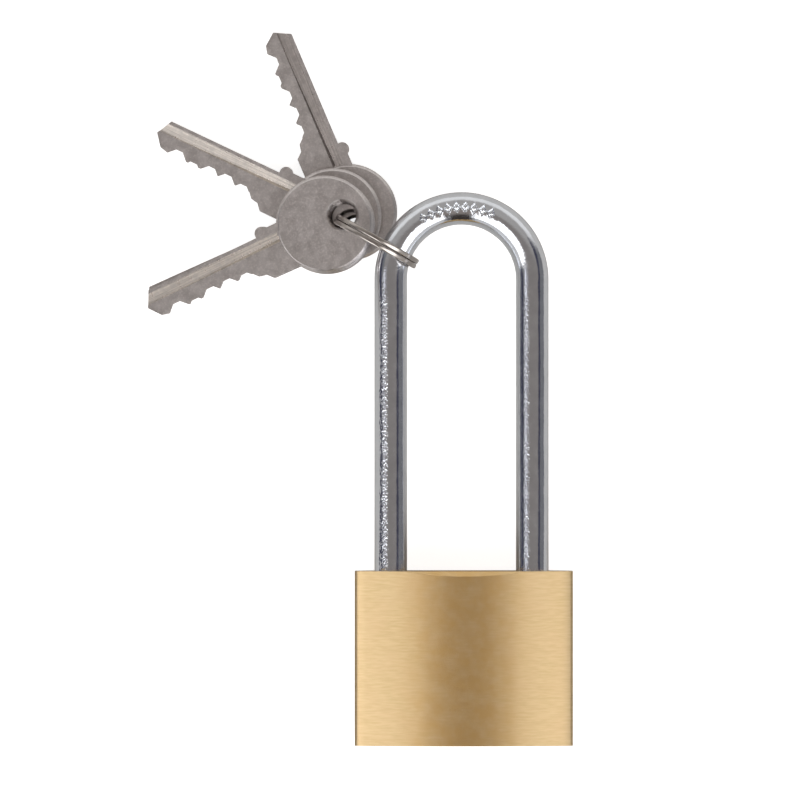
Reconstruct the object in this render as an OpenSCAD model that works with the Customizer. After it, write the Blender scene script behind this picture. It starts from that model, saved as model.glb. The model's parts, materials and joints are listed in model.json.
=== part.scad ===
// Long-shackle solid brass padlock, 40 mm wide, lying on its back with its split ring and keys.
// Millimetres. The origin is the centre of the keyway end, on the key plug's axis.
// +X is to the right across the front, +Y runs along the shackle, +Z is out of the front.
// The pin stacks stand at the shear line, as they do with the right key in the plug.

/* [Body] */
// Width of the body across the two shackle legs
body_w = 40; // [39.5:0.1:40.5]
// Height of the body from the keyway end to the shackle end
body_h = 32; // [31.8:0.1:33]
// Thickness of the body at its middle
body_t = 16; // [15.8:0.1:17]
// How much thinner each bowed face gets towards the sides
face_drop = 3; // [2.6:0.1:3.2]
// Depth of the sloped facet at the shackle end of each bowed face
facet = 0.92; // [0.6:0.02:1.1]
// Chamfer along the four long side edges
side_chamfer = 0.4; // [0.2:0.1:0.6]

/* [Shackle] */
// Diameter of the shackle rod
rod_d = 6; // [5.9:0.05:6.05]
// Distance between the centres of the two legs
leg_gap = 26; // [25.9:0.05:26.1]
// Clear height inside the shackle above the body
clear_h = 63.6; // [60:0.2:66]
// How far the shackle pops up when it is released
lift = 10; // [9:0.5:10]

/* [Lock] */
// Diameter of the key plug
plug_d = 9.8; // [9.7:0.05:9.85]
// Spacing of the pin chambers along the plug
pin_pitch = 3.35; // [3.3:0.05:3.4]
// Diameter of the pins
pin_d = 2.56; // [2.5:0.02:2.58]
// How far the latch reaches into the toe's notch
latch_bite = 1.2; // [1:0.1:1.2]

/* [Keys] */
// Diameter of a key's round head
head_d = 17.8; // [17.4:0.1:18]
// Thickness of a key's head
head_t = 1.95; // [1.8:0.05:2]
// Thickness of a key's blade
blade_t = 1.7; // [1.6:0.05:1.75]
// Diameter of the hole in a key's head
key_hole_d = 4.9; // [4.9:0.05:5.3]
// Outer diameter of the split ring
ring_d = 17.3; // [17.3:0.05:17.5]

/* [Hidden] */
$fn = 72;
big = 60;
pin_count = 5;
pins = [1:pin_count];
keys = ["a", "b", "c", "d"];

function numbered(name) = [for (i = pins) str(name, "_", i)];

// Body
face_r = (pow(body_w / 2, 2) + pow(face_drop, 2)) / (2 * face_drop);
side_z = body_t / 2 - face_drop;

// Shackle
rod_r = rod_d / 2;
hole_gap = 0.15;
heel_x = -13.4;
toe_x = heel_x + leg_gap;
crown_x = (heel_x + toe_x) / 2;
crown_r = leg_gap / 2;
crown_y = body_h + clear_h - crown_r + rod_r;
heel_end = 5;
heel_floor = 3.6;
toe_end = body_h - lift;
toe_floor = toe_end - 1;
end_chamfer = 0.5;
spring_bore_r = 1.6;
spring_bore_top = 14;
spring_wire = 0.45;
spring_turns = 11;
mark_count = 9;
mark_from = 122;
mark_step = -7;
mark_long = 0.7;
mark_high = 0.9;
mark_depth = 0.2;
mark_lean = 4;

// Latch and its drive
latch_y = 27.2;
latch_r = 3;
latch_bore_r = 3.1;
latch_back = -0.6;
latch_gap = 0.4;
latch_face = toe_x - rod_r - latch_gap;
nose_tip_r = 0.8;
nose_tip = toe_x - rod_r + latch_bite;
nose_base_r = nose_tip_r + nose_tip - latch_face;
latch_bore_end = -9.4;
latch_plug_gap = 0.8;
latch_plug_from = toe_x + rod_r + latch_plug_gap;
latch_spring_wire = 0.5;
latch_spring_turns = 6;
crank_r = 3;
crank_pin_r = 1.2;
crank_x = crank_r * cos(45);
crank_slot_gap = 0.14;
crank_slot_top = -0.6;
crank_end = 29.6;
notch_gap = 0.15;
notch_play = 1.8;
notch_top_gap = 0.2;
notch_past = 0.5;

// Key plug
plug_r = plug_d / 2;
plug_bore_r = plug_r + 0.05;
plug_end = 23.6;
plug_floor = 23.8;
crank_room_r = 4.45;
crank_room_end = 30.6;
plug_lip = 0.3;
groove_y = 21.5;
groove_w = 1.7;
groove_r = 4;
plug_pin_r = 0.75;
plug_pin_x = -5;
shackle_pin_r = 1.2;
shackle_pin_x = -10;
shackle_pin_y = 18;
flat_x = shackle_pin_x - shackle_pin_r - 0.15;
pin_seat_z = 3;
press_gap = 0.01;

// Pin stacks
pin_r = pin_d / 2;
chamber_r = pin_r + 0.07;
first_pin = 4.95;
shear_x = 4.7;
driver_from = 5;
driver_len = 4.2;
cap_r = 1.6;
cap_from = body_w / 2 - 2;
pin_spring_wire = 0.35;
pin_spring_turns = 6;
pin_spring_gap = 0.1;
pin_point = 0.7;
coil_sides = 6;
coil_steps = 14;
seat_gap = 0.05;
pin_room = 0.3;
function pin_y(i) = first_pin + (i - 1) * pin_pitch;

// Keys: x along the blade from the head's centre, y towards the cut edge
cut_root = [1.85, 1.4, 1.4, 2.1, 1.2];
hole_back = 3.75;
stop_x = 12.45;
stop_r = 1.25;
stop_rise = 0.35;
saddle = 0.95;
blade_back = -3.1;
blade_top = 2.52;
tip_back = [34.4, blade_back];
tip_point = [35.95, -0.1];
tip_front = [[34.2, 2.1], [32.45, blade_top]];
shoulder_top = 4.9;
shoulder = [[16.5, 1.85], [15, 3.5], [13.65, 3.75], [12.65, shoulder_top]];
neck_x = 4;
cut_flat = 1.35;
cut_slope = 45;
cut_rise = 4;
head_chamfer = 0.5;
hole_chamfer = 0.55;
groove_from = 8.6;
front_groove = [-2.45, -0.6];
back_groove = [-0.3, 0.8];
groove_depth = 0.4;
keyway_gap = 0.1;
ward_gap = 0.15;

// Split ring and the fan of keys, which swing down together about the rod until they reach the table.
// In the fan x runs inwards through the rod, y along the ring's axis and z up.
ring_r = ring_d / 2;
ring_wire = 1;
ring_turn = 0.92;
ring_pitch = 0.95;
ring_x = -4.15;
ring_z = 0.9;
ring_heading = -29.5;
crossing = 158;
fan_tilt = 2.2;
jog_half = 24;
jog_at = -55;
ring_steps = 110;
cross_x = crown_x + crown_r * cos(crossing);
cross_y = crown_y + crown_r * sin(crossing);
key_hole_at = [[-11.85, 1.2, 0.75], [-11.33, 1.1, -1.35], [-9.75, 0.4, -3.45], [-8.5, 0, -5.55]];
key_heading = [205.7, 204.1, 154.6, 113];

brass = "#c9a566";
chrome = "#b9bec6";
nickel = "#9d958c";
steel = "#8d9196";

// Turns a shape drawn along +Z so that it runs along +Y or +X
module along_y() { rotate([-90, 0, 0]) children(); }
module along_x() { rotate([0, 90, 0]) children(); }

// Round bar from y0 to y1 and from x0 to x1
module bar_y(x, z, r, y0, y1) { translate([x, y0, z]) along_y() cylinder(r = r, h = y1 - y0); }
module bar_x(y, r, x0, x1) { translate([x0, y, 0]) along_x() cylinder(r = r, h = x1 - x0); }
module bar_z(x, y, r, z0, z1) { translate([x, y, z0]) cylinder(r = r, h = z1 - z0); }

// Closed tube swept along a list of rings that all have the same number of points
module swept(rings) {
    n = len(rings[0]);
    last = len(rings) - 1;
    polyhedron(
        points = [for (ring = rings) each ring],
        faces = concat(
            [[for (j = [0:n - 1]) j]],
            [for (i = [0:last - 1]) for (j = [0:n - 1])
                each [[i * n + j, (i + 1) * n + j, (i + 1) * n + (j + 1) % n],
                      [i * n + j, (i + 1) * n + (j + 1) % n, i * n + (j + 1) % n]]],
            [[for (j = [n - 1:-1:0]) last * n + j]]));
}

// Wound wire spring standing on z = 0, with outer radius r
module coil(r, wire, turns, length) {
    sides = coil_sides;
    steps = turns * coil_steps;
    mid = r - wire / 2;
    rise = length - wire;
    swept([for (i = [0:steps])
        let (a = 360 * turns * i / steps)
        [for (j = [0:sides - 1])
            let (b = 360 * j / sides, w = mid + wire / 2 * cos(b))
            [w * cos(a), w * sin(a), wire / 2 + rise * i / steps + wire / 2 * sin(b)]]]);
}

// The bowed bar that the body is cut from, with its side chamfers
module body_blank() {
    intersection() {
        translate([-body_w / 2, 0, -body_t / 2]) cube([body_w, body_h, body_t]);
        bar_y(0, body_t / 2 - face_r, face_r, -1, body_h + 1);
        bar_y(0, face_r - body_t / 2, face_r, -1, body_h + 1);
    }
}

module facet_cut(side) {
    translate([0, body_h - facet, side * body_t / 2])
        rotate([side * 45, 0, 0])
            translate([-big / 2, 0, -big / 2]) cube([big, big / 2, big]);
}

module side_edge_cut(sx, sz) {
    translate([sx * (body_w / 2 - side_chamfer), -1, sz * side_z])
        rotate([0, -sx * sz * 45, 0])
            translate([sx > 0 ? 0 : -big, 0, -big / 2]) cube([big, body_h + 2, big]);
}

module pin_chambers(x0) {
    for (i = pins) bar_x(pin_y(i), chamber_r, x0, body_w / 2 + 1);
}

module body() {
    color(brass) difference() {
        body_blank();
        for (side = [-1, 1]) facet_cut(side);
        for (sx = [-1, 1], sz = [-1, 1]) side_edge_cut(sx, sz);
        bar_y(heel_x, 0, rod_r + hole_gap, heel_floor, body_h + 1);
        bar_y(toe_x, 0, rod_r + hole_gap, toe_floor, body_h + 1);
        bar_y(0, 0, plug_bore_r, -1, plug_floor);
        bar_y(0, 0, crank_room_r, plug_floor - 1, crank_room_end);
        bar_x(latch_y, latch_bore_r, latch_bore_end, body_w / 2 + 1);
        pin_chambers(plug_r - 1);
        for (i = pins) bar_x(pin_y(i), cap_r + press_gap, cap_from, body_w / 2 + 1);
        bar_z(plug_pin_x, groove_y, plug_pin_r + press_gap, -body_t, pin_seat_z);
        bar_z(shackle_pin_x, shackle_pin_y, shackle_pin_r + press_gap, -body_t, pin_seat_z);
    }
}

// Brass plug that closes the latch's cross bore, flush with the side
module latch_bore_plug() {
    color(brass) bar_x(latch_y, latch_bore_r - press_gap, latch_plug_from, body_w / 2);
}

module leg(x, end) {
    bar_y(x, 0, rod_r, end + end_chamfer, crown_y);
    translate([x, end, 0]) along_y() cylinder(r1 = rod_r - end_chamfer, r2 = rod_r, h = end_chamfer);
}

// One stamped lozenge on the front of the crown
module crown_mark(i) {
    translate([crown_x, crown_y, 0]) rotate([0, 0, mark_from + i * mark_step])
        translate([crown_r, 0, 0]) rotate([0, mark_lean, 0])
            translate([0, 0, rod_r - mark_depth]) linear_extrude(rod_r)
                polygon([[-mark_high, 0], [0, -mark_long], [mark_high, 0], [0, mark_long]]);
}

// Notch that the latch holds, with 45 degree flanks that match the latch's nose
module toe_notch() {
    floor_x = nose_tip + notch_gap;
    outside = floor_x - toe_x + rod_r + notch_past;
    low = latch_y - nose_tip_r + notch_gap - notch_play;
    high = latch_y + nose_tip_r - notch_gap + notch_top_gap;
    translate([0, 0, -rod_d]) linear_extrude(2 * rod_d)
        polygon([[floor_x, low], [floor_x, high],
                 [floor_x - outside, high + outside], [floor_x - outside, low - outside]]);
}

module shackle() {
    flat_low = shackle_pin_y - shackle_pin_r - lift - hole_gap;
    flat_high = shackle_pin_y + shackle_pin_r + hole_gap;
    color(chrome) difference() {
        union() {
            leg(heel_x, heel_end);
            leg(toe_x, toe_end);
            translate([crown_x, crown_y, 0])
                rotate_extrude(angle = 180) translate([crown_r, 0]) circle(r = rod_r);
        }
        toe_notch();
        translate([flat_x, flat_low, -rod_d]) cube([rod_d, flat_high - flat_low, 2 * rod_d]);
        bar_y(heel_x, 0, spring_bore_r, heel_end - 1, spring_bore_top);
        for (i = [0:mark_count - 1]) crown_mark(i);
    }
}

module shackle_spring() {
    length = spring_bore_top - heel_floor - 2 * seat_gap;
    color(steel) translate([heel_x, heel_floor + seat_gap, 0]) along_y()
        coil(spring_bore_r - hole_gap, spring_wire, spring_turns, length);
}

// Steel pin driven in from the back, which lets the heel rise but keeps it in the body
module shackle_retaining_pin() {
    back = sqrt(pow(face_r, 2) - pow(shackle_pin_x - shackle_pin_r, 2)) - face_r + body_t / 2;
    color(steel) bar_z(shackle_pin_x, shackle_pin_y, shackle_pin_r, -back, pin_seat_z - seat_gap);
}

module latch() {
    slot_half = crank_pin_r + crank_slot_gap;
    color(steel) difference() {
        union() {
            bar_x(latch_y, latch_r, latch_back, latch_face);
            translate([latch_face, latch_y, 0]) along_x()
                cylinder(r1 = nose_base_r, r2 = nose_tip_r, h = nose_tip - latch_face);
        }
        translate([crank_x - slot_half, latch_y - 2 * latch_r, crank_slot_top - 2 * latch_r])
            cube([2 * slot_half, 4 * latch_r, 2 * latch_r]);
    }
}

module latch_spring() {
    length = latch_back - latch_bore_end - 2 * seat_gap;
    color(steel) translate([latch_bore_end + seat_gap, latch_y, 0]) along_x()
        coil(latch_bore_r - latch_spring_wire, latch_spring_wire, latch_spring_turns, length);
}

// Section of the key's passage through the plug, with a rib for each groove of the blade
module keyway_section() {
    half = blade_t / 2 + keyway_gap;
    rib = groove_depth - ward_gap;
    difference() {
        translate([blade_back - keyway_gap, -half])
            square([blade_top - blade_back + 3 * keyway_gap, 2 * half]);
        translate([front_groove[0] + ward_gap, half - rib])
            square([front_groove[1] - front_groove[0] - 2 * ward_gap, rib + 1]);
        translate([back_groove[0] + ward_gap, -half - 1])
            square([back_groove[1] - back_groove[0] - 2 * ward_gap, rib + 1]);
    }
}

module key_plug() {
    color(brass) union() {
        difference() {
            union() {
                along_y() cylinder(r1 = plug_r - plug_lip, r2 = plug_r, h = plug_lip);
                bar_y(0, 0, plug_r, plug_lip, plug_end);
            }
            translate([0, plug_end + 1, 0]) rotate([90, 0, 0])
                linear_extrude(plug_end + 2) keyway_section();
            for (i = pins) bar_x(pin_y(i), chamber_r, cut_root[i - 1] - pin_room, plug_d);
            difference() {
                bar_y(0, 0, plug_d, groove_y - groove_w / 2, groove_y + groove_w / 2);
                bar_y(0, 0, groove_r, 0, plug_end);
            }
        }
        bar_y(crank_x, -crank_x, crank_pin_r, plug_end, crank_end);
    }
}

// Steel pin driven in from the back, which runs in the plug's groove
module plug_retaining_pin() {
    back = sqrt(pow(face_r, 2) - pow(plug_pin_x - plug_pin_r, 2)) - face_r + body_t / 2;
    color(steel) bar_z(plug_pin_x, groove_y, plug_pin_r, -back, pin_seat_z - seat_gap);
}

// Lower pin, which stands on the key and rides in the plug
module key_pin(i) {
    root = cut_root[i - 1];
    color(brass) translate([root, pin_y(i), 0]) along_x() {
        cylinder(r1 = pin_r - pin_point, r2 = pin_r, h = pin_point);
        translate([0, 0, pin_point]) cylinder(r = pin_r, h = shear_x - root - pin_point);
    }
}

module driver_pin(i) {
    color(steel) bar_x(pin_y(i), pin_r, driver_from, driver_from + driver_len);
}

module pin_spring(i) {
    from = driver_from + driver_len + seat_gap;
    color(steel) translate([from, pin_y(i), 0]) along_x()
        coil(pin_r - pin_spring_gap, pin_spring_wire, pin_spring_turns, cap_from - from - seat_gap);
}

module chamber_cap(i) {
    color(brass) bar_x(pin_y(i), cap_r, cap_from, body_w / 2);
}

// Carries the ring and the keys, which lean together about the rod where the ring crosses it
module fan() {
    translate([cross_x, cross_y, 0])
        rotate(a = -fan_tilt, v = [-sin(ring_heading), cos(ring_heading), 0])
            rotate([0, 0, ring_heading]) children();
}

// Sideways place of the ring's wire: two flat turns joined by one slanted step
function wire_side(a) = ring_pitch * (min(1, max(0, (a - 360 + jog_half) / (2 * jog_half))) - 0.5);

module split_ring() {
    from = jog_half;
    span = 720 - 2 * jog_half;
    half = ring_turn / 2;
    color(nickel) fan() translate([ring_x, 0, ring_z]) rotate([90, 0, 0])
        swept([for (i = [0:ring_steps])
            let (a = from + span * i / ring_steps, s = wire_side(a), t = a + jog_at)
            [for (p = [[-ring_wire, -half], [0, -half], [0, half], [-ring_wire, half]])
                [(ring_r + p[0]) * cos(t), (ring_r + p[0]) * sin(t), s + p[1]]]]);
}

module key_cut(x, root) {
    run = cut_rise / tan(cut_slope);
    polygon([[x - cut_flat / 2, root], [x + cut_flat / 2, root],
             [x + cut_flat / 2 + run, root + cut_rise], [x - cut_flat / 2 - run, root + cut_rise]]);
}

// The blade with its shoulder, its stop and the neck that runs under the head
module blade_outline() {
    difference() {
        union() {
            polygon([[0, blade_back], tip_back, tip_point, each tip_front, [0, blade_top]]);
            polygon([[neck_x, 0], [shoulder[0][0], 0], each shoulder, [neck_x, shoulder_top]]);
            translate([neck_x, blade_back - saddle]) square([stop_x - stop_r - neck_x, saddle + 1]);
            translate([stop_x - stop_r, blade_back - stop_rise]) circle(r = stop_r);
        }
        for (i = pins) key_cut(stop_x + pin_y(i), cut_root[i - 1]);
    }
}

module key_head() {
    r = head_d / 2;
    translate([0, 0, -head_t / 2]) cylinder(r1 = r - head_chamfer, r2 = r, h = head_chamfer);
    translate([0, 0, head_chamfer - head_t / 2]) cylinder(r = r, h = head_t - 2 * head_chamfer);
    translate([0, 0, head_t / 2 - head_chamfer]) cylinder(r1 = r, r2 = r - head_chamfer, h = head_chamfer);
}

module key_hole() {
    r = key_hole_d / 2;
    cylinder(r = r, h = 4 * head_t, center = true);
    for (side = [0, 180]) rotate([side, 0, 0]) translate([0, 0, head_t / 2 - hole_chamfer])
        cylinder(r1 = r, r2 = r + 2 * hole_chamfer, h = 2 * hole_chamfer);
}

module key_shape() {
    difference() {
        union() {
            difference() {
                translate([0, 0, -blade_t / 2]) linear_extrude(blade_t) blade_outline();
                translate([groove_from, front_groove[0], blade_t / 2 - groove_depth])
                    cube([big, front_groove[1] - front_groove[0], blade_t]);
                translate([groove_from, back_groove[0], groove_depth - 3 / 2 * blade_t])
                    cube([big, back_groove[1] - back_groove[0], blade_t]);
            }
            key_head();
        }
        translate([-hole_back, 0, 0]) key_hole();
    }
}

module key_on_ring(k) {
    color(nickel) fan() translate(key_hole_at[k])
        rotate([0, 0, key_heading[k] - ring_heading]) translate([hole_back, 0, 0]) key_shape();
}

body();
latch_bore_plug();
shackle();
shackle_spring();
shackle_retaining_pin();
latch();
latch_spring();
key_plug();
plug_retaining_pin();
for (i = pins) key_pin(i);
for (i = pins) driver_pin(i);
for (i = pins) pin_spring(i);
for (i = pins) chamber_cap(i);
split_ring();
for (k = [0:len(keys) - 1]) key_on_ring(k);
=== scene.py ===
"""A long-shackle brass padlock with its split ring and keys: the looks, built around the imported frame.

Units are metres, in the row frame: +X right across the front, +Y along the shackle, +Z out of the front.
"""
import json
from math import cos, pi, radians, sin

import bmesh
import bpy
from mathutils import Matrix, Vector


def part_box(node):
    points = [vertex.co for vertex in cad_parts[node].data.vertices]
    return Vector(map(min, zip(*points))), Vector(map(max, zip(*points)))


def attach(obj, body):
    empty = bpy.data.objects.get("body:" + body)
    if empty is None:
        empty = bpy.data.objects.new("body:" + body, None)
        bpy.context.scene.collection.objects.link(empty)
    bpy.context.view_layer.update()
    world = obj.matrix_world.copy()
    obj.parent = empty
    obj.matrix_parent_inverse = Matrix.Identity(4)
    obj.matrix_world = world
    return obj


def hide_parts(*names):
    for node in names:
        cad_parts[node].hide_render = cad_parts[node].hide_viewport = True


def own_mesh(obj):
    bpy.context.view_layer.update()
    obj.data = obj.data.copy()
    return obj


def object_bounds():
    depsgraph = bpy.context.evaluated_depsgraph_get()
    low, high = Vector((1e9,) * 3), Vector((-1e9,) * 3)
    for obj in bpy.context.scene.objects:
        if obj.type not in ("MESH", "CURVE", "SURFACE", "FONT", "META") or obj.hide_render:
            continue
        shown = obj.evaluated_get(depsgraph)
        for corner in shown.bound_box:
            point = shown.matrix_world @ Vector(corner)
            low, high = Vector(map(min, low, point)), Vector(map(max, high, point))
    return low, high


MM = 0.001

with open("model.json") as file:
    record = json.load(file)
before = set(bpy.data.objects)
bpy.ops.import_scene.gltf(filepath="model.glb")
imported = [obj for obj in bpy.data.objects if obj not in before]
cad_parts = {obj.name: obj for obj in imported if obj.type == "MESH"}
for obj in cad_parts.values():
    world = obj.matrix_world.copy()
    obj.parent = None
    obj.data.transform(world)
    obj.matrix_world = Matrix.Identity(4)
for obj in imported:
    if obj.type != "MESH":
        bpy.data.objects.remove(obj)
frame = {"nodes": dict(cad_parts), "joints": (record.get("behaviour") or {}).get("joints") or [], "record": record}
cad_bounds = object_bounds()
joints = {joint["name"]: joint for joint in frame["joints"]}

# ---------------------------------------------------------------- camera, floor and light

VIEW_CENTRE = (-11.7 * MM, 63.4 * MM)
VIEW_WIDTH = 147 * MM
CAMERA_HEIGHT = 2.0
SENSOR = 36.0
CLIP_START = 0.01
FLOOR_SIZE = 3.0
FLOOR_GAP = 0.05 * MM
FLOOR_COLOR = (0.63, 0.62, 0.6)
FLOOR_GLOW = 0.82
FLOOR_ROUGHNESS = 0.9


def make_camera():
    """A long lens straight above the padlock."""
    data = bpy.data.cameras.new("camera")
    data.sensor_width = SENSOR
    data.lens = SENSOR * CAMERA_HEIGHT / VIEW_WIDTH
    data.clip_start = CLIP_START
    camera = bpy.data.objects.new("camera", data)
    camera.location = (*VIEW_CENTRE, CAMERA_HEIGHT)
    bpy.context.scene.collection.objects.link(camera)
    bpy.context.scene.camera = camera


def make_floor():
    """A white table top that the back of the body touches. It glows for the camera alone, and so is
    less bright in reflections.
    """
    low = cad_bounds[0][2] - FLOOR_GAP
    half = FLOOR_SIZE / 2
    mesh = bpy.data.meshes.new("floor")
    corners = [(-half, -half, low), (half, -half, low), (half, half, low), (-half, half, low)]
    mesh.from_pydata(corners, [], [(0, 1, 2, 3)])
    floor = bpy.data.objects.new("floor", mesh)
    bpy.context.scene.collection.objects.link(floor)
    paint = bpy.data.materials.new("floor")
    paint.use_nodes = True
    nodes, links = paint.node_tree.nodes, paint.node_tree.links
    shader = nodes["Principled BSDF"]
    shader.inputs["Roughness"].default_value = FLOOR_ROUGHNESS
    shader.inputs["Specular IOR Level"].default_value = 0.0
    shader.inputs["Base Color"].default_value = (*FLOOR_COLOR, 1)
    glow = nodes.new("ShaderNodeEmission")
    glow.inputs["Strength"].default_value = FLOOR_GLOW
    both = nodes.new("ShaderNodeAddShader")
    path = nodes.new("ShaderNodeLightPath")
    mix = nodes.new("ShaderNodeMixShader")
    links.new(shader.outputs[0], both.inputs[0])
    links.new(glow.outputs[0], both.inputs[1])
    links.new(path.outputs["Is Camera Ray"], mix.inputs[0])
    links.new(shader.outputs[0], mix.inputs[1])
    links.new(both.outputs[0], mix.inputs[2])
    links.new(mix.outputs[0], nodes["Material Output"].inputs["Surface"])
    mesh.materials.append(paint)


def connect(nodes, links, kind, *sources):
    """A node of the given kind with its first inputs set from values or from other nodes' outputs."""
    node = nodes.new(kind)
    for socket, source in zip(node.inputs, sources):
        if isinstance(source, bpy.types.NodeSocket):
            links.new(source, socket)
        else:
            socket.default_value = source
    return node


def calc(nodes, links, operation, *values):
    """The result of one sum on values or on other nodes' outputs."""
    node = connect(nodes, links, "ShaderNodeMath", *values)
    node.operation = operation
    return node.outputs[0]


def fade(nodes, links, value, off, on):
    """Runs smoothly from 0 where the value is off to 1 where it is on."""
    limits = (off, on, 0.0, 1.0) if off < on else (on, off, 1.0, 0.0)
    node = connect(nodes, links, "ShaderNodeMapRange", value, *limits)
    node.interpolation_type = "SMOOTHSTEP"
    return node.outputs["Result"]


# The inputs and the output that a Mix node uses for colours
MIX_AMOUNT, MIX_BELOW, MIX_ABOVE = 0, 6, 7
MIX_RESULT = 2


def blend(nodes, links, amount, below, above):
    """Lays one colour over another by a 0 to 1 amount."""
    node = nodes.new("ShaderNodeMix")
    node.data_type = "RGBA"
    sockets = [node.inputs[i] for i in (MIX_AMOUNT, MIX_BELOW, MIX_ABOVE)]
    for socket, source in zip(sockets, (amount, below, above)):
        if isinstance(source, bpy.types.NodeSocket):
            links.new(source, socket)
        else:
            socket.default_value = (*source, 1) if hasattr(source, "__len__") else source
    return node.outputs[MIX_RESULT]


OVERHEAD = (0.27, 0.245, 0.23)
FAR_WALL = (0.44, 0.42, 0.4)
FAR_LOW = (0.95, 0.94, 0.92)
NEAR_WALL = (0.29, 0.25, 0.225)
NEAR_LOW = (0.05, 0.04, 0.035)
NEAR_SIDE = (0.72, 0.71, 0.7)
SIDE_LOW = (0.2, 0.2, 0.21)
SIDE_DARK = (0.06, 0.06, 0.09)
LEFT_STRIP = (0.5, 0.49, 0.52)
LEFT_LINE = (1.15, 1.15, 1.22)
WINDOW = (3.4, 3.4, 3.4)
BACKDROP = (1.0, 1.0, 1.0)


def make_world():
    """A studio room: grey overhead, a pale far wall, a warm near wall with two windows, and dark sides.

    x, y and z are the parts of the direction that is looked in, so z = 1 is straight up. Each zone
    is laid over the ones before it. A fade is a value, where it is off and where it is full.
    """
    world = bpy.data.worlds.new("studio")
    bpy.context.scene.world = world
    world.use_nodes = True
    nodes, links = world.node_tree.nodes, world.node_tree.links
    nodes.clear()
    place = nodes.new("ShaderNodeTexCoord")
    x, y, z = connect(nodes, links, "ShaderNodeSeparateXYZ", place.outputs["Generated"]).outputs
    along = calc(nodes, links, "ABSOLUTE", y)

    def zone(*fades):
        """The share of a colour that its fades, multiplied together, let through."""
        total = fade(nodes, links, *fades[0])
        for step in fades[1:]:
            total = calc(nodes, links, "MULTIPLY", total, fade(nodes, links, *step))
        return total

    level = (along, 0.5, 0.3)
    near = (y, -0.12, -0.26)
    raised = (z, 0.4, 0.55)
    left_bay = (x, -0.09, -0.29)
    right_bay = (x, 0.15, 0.34)
    zones = [
        (zone((y, 0.08, 0.35)), FAR_WALL),
        (zone((y, 0.3, 0.6), (z, 0.6, 0.35)), FAR_LOW),
        (zone((y, -0.08, -0.3)), NEAR_WALL),
        (zone((y, -0.2, -0.45), (z, 0.9, 0.6)), NEAR_LOW),
        (zone((z, 0.62, 0.45), level), SIDE_LOW),
        (zone((x, 0.62, 0.72), (x, 0.88, 0.8), level), SIDE_DARK),
        (zone((x, -0.9, -0.97), (z, 0.45, 0.3), level), SIDE_DARK),
        (zone((x, -0.4, -0.65), (x, -0.92, -0.78), (y, 0.15, 0.05), (y, -0.15, -0.05)), LEFT_STRIP),
        (zone((x, -0.64, -0.7), (x, -0.82, -0.76), (y, 0.12, 0.04), (y, -0.12, -0.04)), LEFT_LINE),
        (zone(near, left_bay), NEAR_SIDE),
        (zone(near, right_bay), NEAR_SIDE),
        (zone(near, left_bay, raised), WINDOW),
        (zone(near, right_bay, raised), WINDOW),
    ]
    color = OVERHEAD
    for amount, zone_color in zones:
        color = blend(nodes, links, amount, color, zone_color)
    path = nodes.new("ShaderNodeLightPath")
    color = blend(nodes, links, path.outputs["Is Camera Ray"], color, BACKDROP)
    room = connect(nodes, links, "ShaderNodeBackground", color)
    out = nodes.new("ShaderNodeOutputWorld")
    links.new(room.outputs[0], out.inputs["Surface"])


def set_view():
    """Plain display of the light, so that the white table stays white."""
    bpy.context.scene.view_settings.view_transform = "Standard"
    bpy.context.scene.view_settings.look = "None"


# ---------------------------------------------------------------- materials

def metal(name, color, roughness):
    """A metal shader with constant sockets. Returns (material, nodes, links, shader)."""
    material = bpy.data.materials.new(name)
    material.use_nodes = True
    nodes, links = material.node_tree.nodes, material.node_tree.links
    shader = nodes["Principled BSDF"]
    shader.inputs["Metallic"].default_value = 1.0
    shader.inputs["Base Color"].default_value = (*color, 1)
    shader.inputs["Roughness"].default_value = roughness
    return material, nodes, links, shader


def grain(nodes, links, scale, stretch=(1, 1, 1), detail=4.0, roughness=0.5):
    """Noise in the object's own coordinates. scale times stretch is features per metre on each axis."""
    place = nodes.new("ShaderNodeTexCoord")
    mapping = nodes.new("ShaderNodeMapping")
    mapping.inputs["Scale"].default_value = stretch
    texture = nodes.new("ShaderNodeTexNoise")
    texture.inputs["Scale"].default_value = scale
    texture.inputs["Detail"].default_value = detail
    texture.inputs["Roughness"].default_value = roughness
    links.new(place.outputs["Object"], mapping.inputs["Vector"])
    links.new(mapping.outputs["Vector"], texture.inputs["Vector"])
    return texture.outputs["Fac"]


def spread(nodes, links, value, low, high, start=0.3, end=0.7):
    """Stretches a noise value from start..end to low..high."""
    node = nodes.new("ShaderNodeMapRange")
    node.inputs["From Min"].default_value = start
    node.inputs["From Max"].default_value = end
    node.inputs["To Min"].default_value = low
    node.inputs["To Max"].default_value = high
    links.new(value, node.inputs["Value"])
    return node.outputs["Result"]


def bump(nodes, links, shader, height, depth, below=None):
    """Adds a bump of the given depth in metres, on top of the bump below it."""
    node = nodes.new("ShaderNodeBump")
    node.inputs["Strength"].default_value = 1.0
    node.inputs["Distance"].default_value = depth
    links.new(height, node.inputs["Height"])
    if below is not None:
        links.new(below, node.inputs["Normal"])
    links.new(node.outputs["Normal"], shader.inputs["Normal"])
    return node.outputs["Normal"]


# A browner band of painted shade runs down the body's middle, in place of its darker reflection there. It fades
# from full to edge on each side of the body's middle
SHADE_BAND_FULL = 3 * MM
SHADE_BAND_EDGE = 14 * MM


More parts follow.
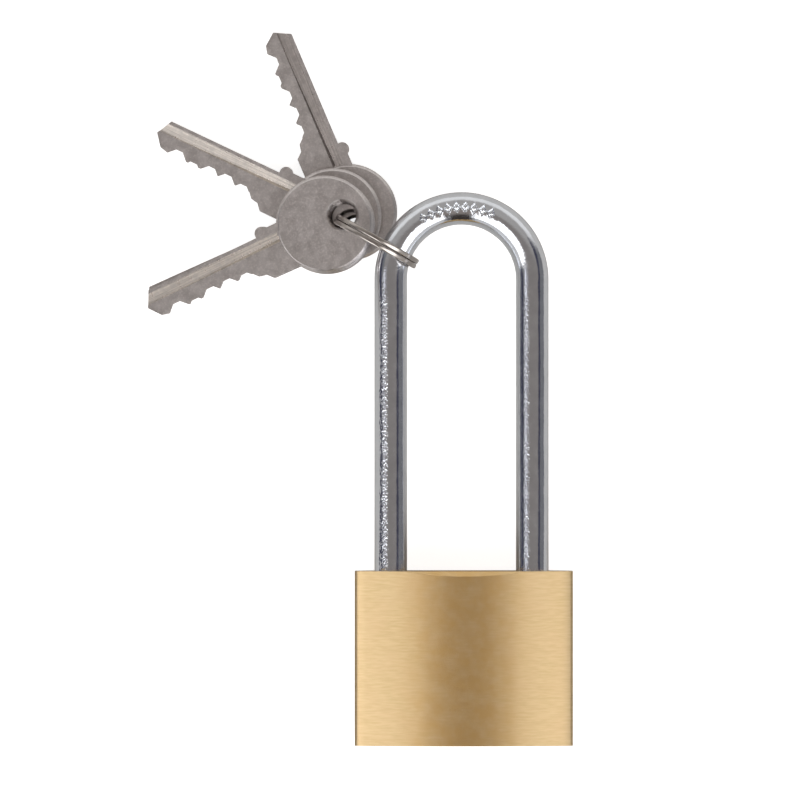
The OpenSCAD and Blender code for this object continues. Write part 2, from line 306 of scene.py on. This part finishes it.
def brushed_brass():
    """Lacquered brass, finely brushed across the body, with a browner band of painted shade down its middle."""
    dark, light = (0.77, 0.565, 0.29), (0.86, 0.65, 0.365)
    pink, shade_brown = (0.87, 0.62, 0.36), (0.76, 0.495, 0.21)
    material, nodes, links, shader = metal("brushed_brass", (0.8, 0.6, 0.3), 0.3)
    shader.inputs["Anisotropic"].default_value = 0.6
    shader.inputs["Anisotropic Rotation"].default_value = 0.25
    tangent = nodes.new("ShaderNodeTangent")
    tangent.direction_type = "RADIAL"
    tangent.axis = "Y"
    links.new(tangent.outputs["Tangent"], shader.inputs["Tangent"])
    fine = grain(nodes, links, 1.0, (600, 5200, 1200), 1.0)
    broad = grain(nodes, links, 1.0, (420, 2900, 700), 1.5)
    cloud = grain(nodes, links, 190, detail=3.0)
    smear = grain(nodes, links, 420, detail=4.0)
    links.new(spread(nodes, links, fine, 0.29, 0.33), shader.inputs["Roughness"])
    lines = blend(nodes, links, spread(nodes, links, broad, 0, 1), dark, light)
    clouded = blend(nodes, links, spread(nodes, links, cloud, 0, 0.4), lines, pink)
    place = nodes.new("ShaderNodeTexCoord")
    x = connect(nodes, links, "ShaderNodeSeparateXYZ", place.outputs["Object"]).outputs["X"]
    # Painted shade: the middle of the body is browner, in place of the darker reflection there, broken up by noise
    shade_band = fade(nodes, links, calc(nodes, links, "ABSOLUTE", x), SHADE_BAND_EDGE, SHADE_BAND_FULL)
    painted_shade = calc(nodes, links, "MULTIPLY", shade_band, spread(nodes, links, smear, 0.45, 1.1))
    links.new(blend(nodes, links, painted_shade, clouded, shade_brown), shader.inputs["Base Color"])
    first = bump(nodes, links, shader, broad, 0.0045 * MM)
    bump(nodes, links, shader, fine, 0.001 * MM, below=first)
    return material


def turned_brass():
    """Brass faced on a lathe, with rings about the key plug's axis."""
    dark, light = (0.7, 0.5, 0.24), (0.84, 0.65, 0.36)
    rings_per_metre = 9000
    material, nodes, links, shader = metal("turned_brass", (0.78, 0.58, 0.29), 0.28)
    place = nodes.new("ShaderNodeTexCoord")
    split = nodes.new("ShaderNodeSeparateXYZ")
    flat = nodes.new("ShaderNodeCombineXYZ")
    length = nodes.new("ShaderNodeVectorMath")
    length.operation = "LENGTH"
    texture = nodes.new("ShaderNodeTexNoise")
    texture.noise_dimensions = "1D"
    texture.inputs["Scale"].default_value = rings_per_metre
    links.new(place.outputs["Object"], split.inputs[0])
    links.new(split.outputs["X"], flat.inputs["X"])
    links.new(split.outputs["Z"], flat.inputs["Y"])
    links.new(flat.outputs[0], length.inputs[0])
    links.new(length.outputs["Value"], texture.inputs["W"])
    cloud = grain(nodes, links, 700, detail=3.0)
    links.new(spread(nodes, links, cloud, 0.22, 0.4), shader.inputs["Roughness"])
    links.new(blend(nodes, links, cloud, dark, light), shader.inputs["Base Color"])
    bump(nodes, links, shader, texture.outputs["Fac"], 0.01 * MM)
    return material


# A rough line lies to the left of each leg's middle. Both across and upward it fades from full to edge.
# LEG_RUBS is its strength on the left leg and on the right one
RUB_SIDE = 1.1 * MM
RUB_FULL = 0.4 * MM
RUB_EDGE = 1.05 * MM
RUB_TOP_FULL = 80 * MM
RUB_TOP_EDGE = 88 * MM
LEG_RUBS = (1.0, 0.6)


def chrome_plate():
    """Bright chrome over drawn rod. A line along each leg is rough, on the left leg most of all."""
    dark, light = (0.62, 0.64, 0.68), (0.75, 0.77, 0.81)
    material, nodes, links, shader = metal("chrome_plate", (0.69, 0.71, 0.75), 0.1)
    wave = grain(nodes, links, 1.0, (380, 100, 380), 2.0)
    pits = grain(nodes, links, 2600, detail=1.0)
    skin = grain(nodes, links, 1.0, (3000, 2200, 3000), 1.0)
    haze = grain(nodes, links, 500, detail=3.0)
    place = nodes.new("ShaderNodeTexCoord")
    x, y, _ = connect(nodes, links, "ShaderNodeSeparateXYZ", place.outputs["Object"]).outputs
    low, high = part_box("shackle")
    rod = (high.z - low.z) / 2
    rough = 0.0
    for leg, amount in zip((low.x + rod, high.x - rod), LEG_RUBS):
        offset = calc(nodes, links, "ABSOLUTE", calc(nodes, links, "SUBTRACT", x, leg - RUB_SIDE))
        line = calc(nodes, links, "MULTIPLY", fade(nodes, links, offset, RUB_EDGE, RUB_FULL), amount)
        rough = calc(nodes, links, "ADD", rough, line)
    rough = calc(nodes, links, "MULTIPLY", rough, fade(nodes, links, y, RUB_TOP_EDGE, RUB_TOP_FULL))
    links.new(spread(nodes, links, haze, 0.07, 0.15), shader.inputs["Roughness"])
    links.new(blend(nodes, links, haze, dark, light), shader.inputs["Base Color"])
    first = bump(nodes, links, shader, wave, 0.08 * MM)
    rubbed_skin = calc(nodes, links, "MULTIPLY", skin, rough)
    second = bump(nodes, links, shader, rubbed_skin, 0.1 * MM, below=first)
    bump(nodes, links, shader, pits, 0.01 * MM, below=second)
    return material


def tumbled_nickel():
    """Matt nickel plate on keys that were tumbled together."""
    dark, light, bright = (0.5, 0.468, 0.46), (0.64, 0.6, 0.59), (0.74, 0.69, 0.67)
    material, nodes, links, shader = metal("tumbled_nickel", (0.55, 0.51, 0.5), 0.34)
    blotch = grain(nodes, links, 700, detail=5.0, roughness=0.65)
    speckle = grain(nodes, links, 2800, detail=1.0)
    dents = grain(nodes, links, 700, detail=2.0)
    scratch = grain(nodes, links, 1.0, (150, 4200, 600), 2.0)
    links.new(spread(nodes, links, blotch, 0.3, 0.37), shader.inputs["Roughness"])
    cloud = blend(nodes, links, spread(nodes, links, blotch, 0, 1), dark, light)
    fleck = spread(nodes, links, speckle, 0, 0.5, 0.5, 0.75)
    links.new(blend(nodes, links, fleck, cloud, bright), shader.inputs["Base Color"])
    first = bump(nodes, links, shader, dents, 0.018 * MM)
    second = bump(nodes, links, shader, scratch, 0.003 * MM, below=first)
    bump(nodes, links, shader, speckle, 0.006 * MM, below=second)
    return material


BRIGHT_GROOVE = ((0.62, 0.58, 0.54), (1.0, 0.93, 0.86), (0.55, 0.52, 0.49))
# The same groove in a darker tone, used on key D
DARKER_GROOVE = ((0.4, 0.37, 0.355), (0.62, 0.57, 0.55), (0.3, 0.27, 0.26))


def milled_nickel(name, dark, light, dull_color):
    """The milled groove of a blade, streaked along the blade, in a bright tone or a darker one."""
    material, nodes, links, shader = metal(name, light, 0.3)
    streak = grain(nodes, links, 1.0, (120, 3600, 3600), 1.5)
    chatter = grain(nodes, links, 1.0, (900, 700, 700), 2.0)
    links.new(spread(nodes, links, chatter, 0.26, 0.32), shader.inputs["Roughness"])
    cloud = blend(nodes, links, spread(nodes, links, streak, 0, 1), dark, light)
    dull = spread(nodes, links, chatter, 0, 0.6, 0.45, 0.7)
    links.new(blend(nodes, links, dull, cloud, dull_color), shader.inputs["Base Color"])
    first = bump(nodes, links, shader, chatter, 0.008 * MM)
    bump(nodes, links, shader, streak, 0.003 * MM, below=first)
    return material


def ring_nickel():
    """Bright nickel on drawn spring wire."""
    dark, light = (0.33, 0.3, 0.28), (0.52, 0.48, 0.45)
    material, nodes, links, shader = metal("ring_nickel", (0.43, 0.39, 0.37), 0.2)
    drawn = grain(nodes, links, 900, detail=3.0)
    links.new(spread(nodes, links, drawn, 0.17, 0.24), shader.inputs["Roughness"])
    links.new(blend(nodes, links, drawn, dark, light), shader.inputs["Base Color"])
    bump(nodes, links, shader, drawn, 0.01 * MM)
    return material


def plain_steel():
    """Oiled steel of the inner pieces."""
    dark, light = (0.42, 0.43, 0.45), (0.58, 0.59, 0.6)
    material, nodes, links, shader = metal("plain_steel", (0.5, 0.51, 0.53), 0.32)
    turned = grain(nodes, links, 1.0, (2500, 2500, 300), 3.0)
    links.new(spread(nodes, links, turned, 0.24, 0.42), shader.inputs["Roughness"])
    links.new(blend(nodes, links, turned, dark, light), shader.inputs["Base Color"])
    bump(nodes, links, shader, turned, 0.005 * MM)
    return material


# ---------------------------------------------------------------- mesh tools

MERGE = 0.002 * MM
FLAT_WITHIN = radians(0.4)
# Degrees that the surface turns by at an edge
ROUND_OVER = 30
SMOOTH_UNDER = 60
FLAT_WEIGHT = 90


def link(name, mesh):
    """A new object with this mesh, in the scene."""
    piece = bpy.data.objects.new(name, mesh)
    bpy.context.scene.collection.objects.link(piece)
    return piece


def from_bmesh(name, bm):
    """A new object from mesh code, with its faces turned outward."""
    bmesh.ops.recalc_face_normals(bm, faces=bm.faces)
    mesh = bpy.data.meshes.new(name)
    bm.to_mesh(mesh)
    bm.free()
    return link(name, mesh)


def settle(piece):
    """Makes the modifiers' result the piece's own mesh."""
    graph = bpy.context.evaluated_depsgraph_get()
    mesh = bpy.data.meshes.new_from_object(piece.evaluated_get(graph))
    piece.modifiers.clear()
    piece.data = mesh


def carve(piece, cutters):
    """Cuts each cutter out of the piece and removes it."""
    for cutter in cutters:
        modifier = piece.modifiers.new("cut", "BOOLEAN")
        modifier.operation = "DIFFERENCE"
        modifier.solver = "EXACT"
        modifier.object = cutter
        settle(piece)
        bpy.data.objects.remove(cutter)


def shade(piece, sharp):
    """Smooth shading with edges kept where the surface turns by more than sharp degrees."""
    bm = bmesh.new()
    bm.from_mesh(piece.data)
    for face in bm.faces:
        face.smooth = True
    for edge in bm.edges:
        edge.smooth = len(edge.link_faces) == 2 and edge.calc_face_angle(0) < radians(sharp)
    bm.to_mesh(piece.data)
    bm.free()


def soften(piece, width, segments):
    """Rounds every edge that turns by more than ROUND_OVER, and keeps flat faces flat to the light."""
    modifier = piece.modifiers.new("round", "BEVEL")
    modifier.width = width
    modifier.segments = segments
    modifier.limit_method = "ANGLE"
    modifier.angle_limit = radians(ROUND_OVER)
    modifier.use_clamp_overlap = True
    settle(piece)
    shade(piece, SMOOTH_UNDER)
    weighted = piece.modifiers.new("normals", "WEIGHTED_NORMAL")
    weighted.keep_sharp = True
    weighted.weight = FLAT_WEIGHT
    settle(piece)


def copy_of_node(node, name):
    """The CAD node's shape as a clean mesh, with its flat faces in one piece each."""
    bm = bmesh.new()
    bm.from_mesh(frame["nodes"][node].data)
    bmesh.ops.remove_doubles(bm, verts=bm.verts, dist=MERGE)
    bmesh.ops.dissolve_limit(bm, angle_limit=FLAT_WITHIN, verts=bm.verts, edges=bm.edges)
    return from_bmesh(name, bm)


def dress(piece, material, body, slot, *nodes):
    """Paints a piece, ties it to its body, and lets it stand for its CAD nodes. The slot is not used."""
    piece.data.materials.clear()
    piece.data.materials.append(material)
    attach(piece, body)
    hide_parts(*nodes)
    return piece


def swept_mesh(name, rings):
    """A closed tube through rings of points, with a flat face at each end."""
    bm = bmesh.new()
    rows = [[bm.verts.new(point) for point in ring] for ring in rings]
    count = len(rows[0])
    for low, high in zip(rows, rows[1:]):
        for j in range(count):
            k = (j + 1) % count
            bm.faces.new((low[j], low[k], high[k], high[j]))
    bm.faces.new(rows[0])
    bm.faces.new(reversed(rows[-1]))
    return from_bmesh(name, bm)


# ---------------------------------------------------------------- pieces

BODY_EDGE = 0.08 * MM


def make_body(brass):
    """The brass block, with its edges just broken."""
    body = copy_of_node("body", "brass_body")
    soften(body, BODY_EDGE, 3)
    return dress(body, brass, "case", "brass", "body")


ROD_SIDES = 192
FINE_STEP = radians(0.45)
COARSE_STEP = radians(2.5)
END_CHAMFER = 0.5 * MM

# The marks are sunk lozenges. MARK_FIRST and MARK_STEP are degrees round the crown
MARK_COUNT = 9
MARK_FIRST = 122
MARK_STEP = 7
MARK_ANGLES = [radians(MARK_FIRST - MARK_STEP * i) for i in range(MARK_COUNT)]
MARK_MARGIN = radians(6)
MARK_LEAN = radians(4)
MARK_LONG = 0.7 * MM
MARK_HIGH = 0.9 * MM
MARK_DEPTH = 0.2 * MM
BURR_HEIGHT = 0.03 * MM
# Each has an island in it and a burr round it, placed by the share of the way from its middle, at 0, to
# its edge, at 1. ISLAND_RISE is a share of MARK_DEPTH
WALL_OUTSIDE = 1.1
ISLAND_OUTSIDE = 0.62
WALL_WIDTH = 0.2
BURR_AT = 1.2
BURR_WIDTH = 0.15
ISLAND_RISE = 0.8

NOTCH_GAP = 0.15 * MM
NOTCH_LOW = 2.45 * MM
NOTCH_HIGH = 0.85 * MM
BORE_SIDES = 48
SHACKLE_SHARP = 35


def mark_depth_at(crown_angle, rod_angle, bend, rod):
    """How far the stamped row of lozenges sinks the rod's skin at a point of the crown."""
    across = rod * abs(rod_angle - MARK_LEAN)
    radius = bend + rod * sin(rod_angle)
    along = radius * min(abs(crown_angle - mark) for mark in MARK_ANGLES)
    share = along / MARK_LONG + across / MARK_HIGH
    wall = min(max((WALL_OUTSIDE - share) / WALL_WIDTH, 0), 1)
    island = min(max((ISLAND_OUTSIDE - share) / WALL_WIDTH, 0), 1)
    burr = max(1 - abs(share - BURR_AT) / BURR_WIDTH, 0)
    return MARK_DEPTH * (wall - ISLAND_RISE * island) - BURR_HEIGHT * burr


def crown_steps(first, last):
    """Angles along the crown, close together where the marks are."""
    steps = [0.0]
    while steps[-1] < pi:
        near_marks = first < steps[-1] < last
        steps.append(steps[-1] + (FINE_STEP if near_marks else COARSE_STEP))
    return steps[:-1] + [pi]


def rod_ring(centre, outward, radius, depth=None):
    """A ring of points round the rod. outward points away from the inside of the bend."""
    ring = []
    for j in range(ROD_SIDES):
        angle = 2 * pi * j / ROD_SIDES
        near = angle - 2 * pi if angle > pi else angle
        reach = radius - (depth(near) if depth else 0)
        ring.append(centre + reach * (sin(angle) * outward + cos(angle) * Vector((0, 0, 1))))
    return ring


def prism(name, outline, low, high):
    """A cutter: an outline of (x, y) points carried from one height to another."""
    bm = bmesh.new()
    bottom = [bm.verts.new((x, y, low)) for x, y in outline]
    top = [bm.verts.new((x, y, high)) for x, y in outline]
    bm.faces.new(reversed(bottom))
    bm.faces.new(top)
    for i in range(len(outline)):
        k = (i + 1) % len(outline)
        bm.faces.new((bottom[i], bottom[k], top[k], top[i]))
    return from_bmesh(name, bm)


def make_shackle(chrome):
    """The bent rod as one sweep, with its stamped marks, and cut for the latch, the pin and the spring."""
    low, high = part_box("shackle")
    rod = (high.z - low.z) / 2
    heel, toe = low.x + rod, high.x - rod
    bend = (toe - heel) / 2
    middle = Vector(((heel + toe) / 2, high.y - rod - bend, 0))
    lift = joints["shackle_lift"]["range_m"][1]
    toe_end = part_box("body")[1].y - lift
    right, left = Vector((1, 0, 0)), Vector((-1, 0, 0))
    rings = []
    for y, radius in ((toe_end, rod - END_CHAMFER), (toe_end + END_CHAMFER, rod)):
        rings.append(rod_ring(Vector((toe, y, 0)), right, radius))
    first, last = min(MARK_ANGLES) - MARK_MARGIN, max(MARK_ANGLES) + MARK_MARGIN
    for angle in crown_steps(first, last):
        outward = Vector((cos(angle), sin(angle), 0))
        marked = first < angle < last
        depth = (lambda near, a=angle: mark_depth_at(a, near, bend, rod)) if marked else None
        rings.append(rod_ring(middle + bend * outward, outward, rod, depth))
    for y, radius in ((low.y + END_CHAMFER, rod), (low.y, rod - END_CHAMFER)):
        rings.append(rod_ring(Vector((heel, y, 0)), left, radius))
    shape = swept_mesh("chrome_shackle", rings)
    carve(shape, [toe_notch(toe, rod), heel_flat(heel, rod, lift), spring_bore(heel)])
    shade(shape, SHACKLE_SHARP)
    return dress(shape, chrome, "shackle", "chrome", "shackle")


def toe_notch(toe, rod):
    """A cutter for the notch in the toe's inner side, which widens outward, for the latch's nose."""
    low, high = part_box("latch")
    nose = (low.y + high.y) / 2
    floor = high.x + NOTCH_GAP
    outside = floor - toe + rod + rod
    outline = [(floor, nose - NOTCH_LOW),
               (floor, nose + NOTCH_HIGH),
               (floor - outside, nose + NOTCH_HIGH + outside),
               (floor - outside, nose - NOTCH_LOW - outside)]
    return prism("notch", outline, -2 * rod, 2 * rod)


def heel_flat(heel, rod, lift):
    """A cutter for the flat in the heel, as long as the lift, that its retaining pin rides in."""
    low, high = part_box("shackle_retaining_pin")
    inside, outside = low.x - NOTCH_GAP, heel + 2 * rod
    bottom, top = low.y - lift - NOTCH_GAP, high.y + NOTCH_GAP
    outline = [(inside, bottom), (outside, bottom), (outside, top), (inside, top)]
    return prism("flat", outline, -2 * rod, 2 * rod)


def spring_bore(heel):
    """A cutter for the bore in the heel's end that holds the shackle's spring."""
    low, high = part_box("shackle_spring")
    radius = (high.x - low.x) / 2 + NOTCH_GAP
    up, across = Vector((0, 0, 1)), Vector((1, 0, 0))
    rings = []
    for y in (low.y, high.y):
        turns = [2 * pi * j / BORE_SIDES for j in range(BORE_SIDES)]
        rings.append([Vector((heel, y, 0)) + radius * (cos(a) * across + sin(a) * up) for a in turns])
    return swept_mesh("bore", rings)


def key_matrix(node):
    """The key's own frame: origin in its hole, x towards the tip, z out of its face."""
    joint = joints[node + "_swivel"]
    hole = Vector(joint["pos_m"])
    up = Vector(joint["axis"]).normalized()
    tip = max((v.co for v in frame["nodes"][node].data.vertices), key=lambda co: (co - hole).length)
    along = tip - hole
    along = (along - along.dot(up) * up).normalized()
    side = up.cross(along)
    axes = Matrix((along, side, up)).transposed().to_4x4()
    return Matrix.Translation(hole) @ axes


# A key's own origin is the middle of its head, this far from its hole. Its tip is at +x and its face at +z
HOLE_BACK = 3.75 * MM
KEY_EDGE = 0.1 * MM
GROOVE_BACK = -2.45 * MM
GROOVE_FRONT = -0.6 * MM
GROOVE_FLOOR = 0.45 * MM
GROOVE_RISE = 0.33 * MM
GROOVE_WALL = 0.5 * MM
CLOSE = 0.05 * MM
# The box that a face's middle lies in if the face belongs to the groove, for x, y and z
GROOVE_BOX = ((8.6 * MM, 40 * MM), (-2.6 * MM, -0.56 * MM), (0.4 * MM, 0.845 * MM))


def slope_groove(mesh):
    """Slopes the front groove's floor and its wall, as a milling cutter leaves them."""
    for vertex in mesh.vertices:
        if abs(vertex.co.z - GROOVE_FLOOR) > CLOSE:
            continue
        if abs(vertex.co.y - GROOVE_BACK) < CLOSE:
            vertex.co.z += GROOVE_RISE
        elif abs(vertex.co.y - GROOVE_FRONT) < CLOSE:
            vertex.co.y -= GROOVE_WALL


def is_milled(face):
    """Whether a face belongs to the milled groove."""
    return all(low < value < high for value, (low, high) in zip(face.center, GROOVE_BOX))


def make_key(letter, nickel, milled):
    """A key with its edges broken and its groove in the milled finish."""
    node = "key_" + letter
    place = key_matrix(node)
    key = copy_of_node(node, "nickel_" + node)
    key.data.transform(place.inverted())
    key.data.transform(Matrix.Translation((-HOLE_BACK, 0, 0)))
    slope_groove(key.data)
    soften(key, KEY_EDGE, 2)
    key.matrix_world = place @ Matrix.Translation((HOLE_BACK, 0, 0))
    dress(key, nickel, node, "nickel", node)
    key.data.materials.append(milled)
    for face in key.data.polygons:
        face.material_index = int(is_milled(face))
    return key


def ring_axes():
    """The split ring's centre, its direction towards the rod, its upward direction and its axis."""
    low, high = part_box("split_ring")
    centre = (low + high) / 2
    up = Vector(joints["key_a_swivel"]["axis"]).normalized()
    inward = Vector(joints["ring_swing"]["pos_m"]) - centre
    inward = (inward - inward.dot(up) * up).normalized()
    return centre, inward, up, up.cross(inward)


# The two turns lie at WIRE_SIDE to each side of the ring's middle, and the wire steps across at RING_JOG_AT
WIRE_SIDE = 0.49 * MM
WIRE_DEEP = 1.0 * MM
WIRE_WIDE = 0.92 * MM
WIRE_ROUND = 0.26 * MM
CORNER_STEPS = 5
RING_JOG = radians(24)
RING_JOG_AT = radians(-55)
RING_STEPS = 420
RING_SHARP = 50
END_STEPS = 4
END_SIZE = 0.7


def wire_section():
    """A rectangle with round corners, as (inward from the rim, sideways) points."""
    points = []
    half = WIRE_WIDE / 2 - WIRE_ROUND
    corners = [(WIRE_ROUND, half, 90), (WIRE_DEEP - WIRE_ROUND, half, 0),
               (WIRE_DEEP - WIRE_ROUND, -half, -90), (WIRE_ROUND, -half, -180)]
    for deep, side, start in corners:
        for step in range(CORNER_STEPS + 1):
            angle = radians(start + 90 - 90 * step / CORNER_STEPS)
            points.append((deep + WIRE_ROUND * cos(angle), side + WIRE_ROUND * sin(angle)))
    return points


def make_ring(nickel):
    """Two flat turns of wire, side by side, with one slanted step from the first to the second."""
    low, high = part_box("split_ring")
    centre, inward, up, axis = ring_axes()
    radius = (high.z - low.z) / 2
    rings = []
    section = wire_section()
    middle = WIRE_DEEP / 2
    for i in range(RING_STEPS + 1):
        turn = RING_JOG + (4 * pi - 2 * RING_JOG) * i / RING_STEPS
        step = min(max((turn - 2 * pi + RING_JOG) / (2 * RING_JOG), 0), 1)
        side = WIRE_SIDE * (2 * step * step * (3 - 2 * step) - 1)
        angle = turn + RING_JOG_AT
        outward = cos(angle) * inward + sin(angle) * up
        to_end = min(i, RING_STEPS - i)
        shrink = min(1, END_SIZE + (1 - END_SIZE) * to_end / END_STEPS)
        ring = []
        for deep, wide in section:
            reach = radius - middle - shrink * (deep - middle)
            ring.append(centre + reach * outward - (side + shrink * wide) * axis)
        rings.append(ring)
    ring = swept_mesh("nickel_split_ring", rings)
    shade(ring, RING_SHARP)
    return dress(ring, nickel, "ring", "nickel", "split_ring")


def make_latch_spring(steel):
    """The latch spring's coil, copied from its CAD node."""
    spring = link("steel_latch_spring", frame["nodes"]["latch_spring"].data.copy())
    dress(spring, steel, "case", "steel", "latch_spring")
    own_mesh(spring)
    return spring


def paint_node(node, material):
    """Gives a CAD node that stays in view a better material."""
    mesh = frame["nodes"][node].data
    mesh.materials.clear()
    mesh.materials.append(material)


def main():
    """Sets the studio, makes the pieces that replace CAD nodes and paints the CAD nodes that stay."""
    make_camera()
    make_floor()
    make_world()
    set_view()
    brass, turned, chrome = brushed_brass(), turned_brass(), chrome_plate()
    nickel, ring_metal, steel = tumbled_nickel(), ring_nickel(), plain_steel()
    milled = milled_nickel("milled_nickel", *BRIGHT_GROOVE)
    darker_groove = milled_nickel("darker_groove_nickel", *DARKER_GROOVE)
    make_body(brass)
    make_shackle(chrome)
    make_ring(ring_metal)
    for letter, groove in zip("abcd", (milled, milled, milled, darker_groove)):
        make_key(letter, nickel, groove)
    make_latch_spring(steel)
    finishes = {"brass": turned, "chrome": chrome, "nickel": nickel, "steel": steel}
    for entry in frame["record"]["subparts"]:
        paint_node(entry["node"], finishes[entry["material_slot"]])
    caps = [node for node in frame["nodes"] if node.startswith("chamber_cap")]
    for node in caps + ["latch_bore_plug"]:
        paint_node(node, brass)


main()
